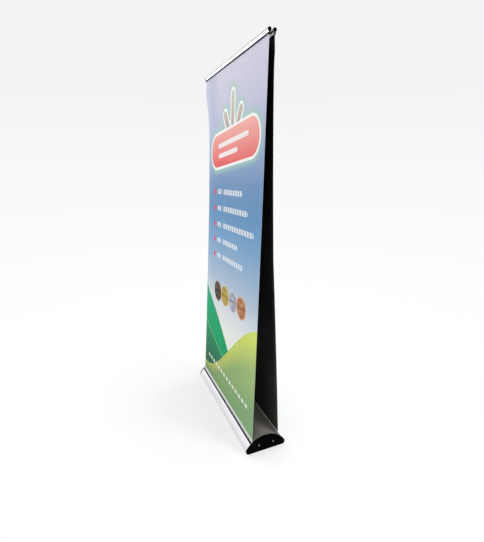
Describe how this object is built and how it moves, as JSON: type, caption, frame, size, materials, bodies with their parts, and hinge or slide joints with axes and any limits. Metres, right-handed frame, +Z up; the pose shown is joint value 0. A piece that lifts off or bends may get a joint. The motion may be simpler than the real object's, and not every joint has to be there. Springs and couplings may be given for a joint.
{
  "type": "roll-up banner stand",
  "caption": "Double-sided roll-up banner stand: D-shaped metal base with spring rollers, printed films rising through its slots to clamp top rails held by a central sectional pole.",
  "frame": {"origin": "centre of the footprint, on the floor under the rubber feet", "axes": "+Z up, +X along the base and the rails, -Y the front graphic"},
  "size_m": [0.8752, 0.2384, 2.0555],
  "materials": {
    "anodised_aluminium": "satin silver anodised extrusion with fine lengthwise lines",
    "rail_aluminium": "bright satin anodised extrusion",
    "plate_metal": "dull sheet, sawn edge",
    "black_plastic": "moulded, fine grain",
    "pale_plastic": "moulded, plain",
    "steel": "zinc plated",
    "black_rubber": "matt",
    "elastic_cord": "braided cover",
    "printed_film": "printed flexible film, satin front and black light-stop back",
    "film_roll": "edge and back of the same film"
  },
  "bodies": {
    "base": {"casing": "anodised_aluminium", "left_end_plate": "plate_metal", "right_end_plate": "plate_metal", "left_end_cap": "black_plastic", "right_end_cap": "black_plastic", "left_cap_screws": "steel", "right_cap_screws": "steel", "rubber_feet": "black_rubber", "pole_socket": "black_plastic", "socket_screws": "steel", "front_trim_strip": "black_rubber", "front_idler_pin": "steel", "front_spring_shaft": "steel", "front_shaft_nut": "steel", "front_spring_anchor": "pale_plastic", "rear_trim_strip": "black_rubber", "rear_idler_pin": "steel", "rear_spring_shaft": "steel", "rear_shaft_nut": "steel", "rear_spring_anchor": "pale_plastic"},
    "pole": {"pole_foot_plug": "black_plastic", "lower_pole_tube": "anodised_aluminium", "lower_ferrule": "black_plastic", "middle_pole_tube": "anodised_aluminium", "upper_ferrule": "black_plastic", "upper_pole_tube": "anodised_aluminium", "pole_head": "black_plastic", "shock_cord": "elastic_cord", "cord_anchors": "steel"},
    "front_rail": {"front_rail_back": "rail_aluminium", "front_rail_left_cap": "black_plastic", "front_rail_right_cap": "black_plastic", "front_graphic": "printed_film"},
    "front_clamp": {"front_rail_clamp": "rail_aluminium", "front_clamp_seal": "black_rubber"},
    "front_roller": {"front_roller_tube": "anodised_aluminium", "front_graphic_roll": "film_roll", "front_idler_plug": "pale_plastic", "front_drive_plug": "pale_plastic", "front_torsion_spring": "steel"},
    "rear_rail": {"rear_rail_back": "rail_aluminium", "rear_rail_left_cap": "black_plastic", "rear_rail_right_cap": "black_plastic", "rear_graphic": "printed_film"},
    "rear_clamp": {"rear_rail_clamp": "rail_aluminium", "rear_clamp_seal": "black_rubber"},
    "rear_roller": {"rear_roller_tube": "anodised_aluminium", "rear_graphic_roll": "film_roll", "rear_idler_plug": "pale_plastic", "rear_drive_plug": "pale_plastic", "rear_torsion_spring": "steel"}
  },
  "joints": [
    {"name": "pole_lift", "type": "slide", "parent": "base", "child": "pole", "axis": [0, 0, 1], "range_m": [0, 0.05]},
    {"name": "front_rail_slide", "type": "slide", "parent": "pole", "child": "front_rail", "axis": [0, 0.0341, 0.9994], "range_m": [-1.958, 0.01], "deforming": ["front_graphic"]},
    {"name": "front_clamp_swing", "type": "hinge", "parent": "front_rail", "child": "front_clamp", "pos_m": [0, -0.01237, 2.04759], "axis": [-1, 0, 0], "range_deg": [0, 40]},
    {"name": "front_roller_spin", "type": "hinge", "parent": "base", "child": "front_roller", "pos_m": [0, -0.0665, 0.031], "axis": [1, 0, 0], "range_deg": [-40, 6740]},
    {"name": "rear_rail_slide", "type": "slide", "parent": "pole", "child": "rear_rail", "axis": [0, -0.0341, 0.9994], "range_m": [-1.958, 0.01], "deforming": ["rear_graphic"]},
    {"name": "rear_clamp_swing", "type": "hinge", "parent": "rear_rail", "child": "rear_clamp", "pos_m": [0, 0.01237, 2.04759], "axis": [1, 0, 0], "range_deg": [0, 40]},
    {"name": "rear_roller_spin", "type": "hinge", "parent": "base", "child": "rear_roller", "pos_m": [0, 0.0665, 0.031], "axis": [1, 0, 0], "range_deg": [-6740, 40]}
  ],
  "couplings": [
    {"joint": "front_roller_spin", "follows": "front_rail_slide", "rad_per_m": -60},
    {"joint": "rear_roller_spin", "follows": "rear_rail_slide", "rad_per_m": 60}
  ]
}
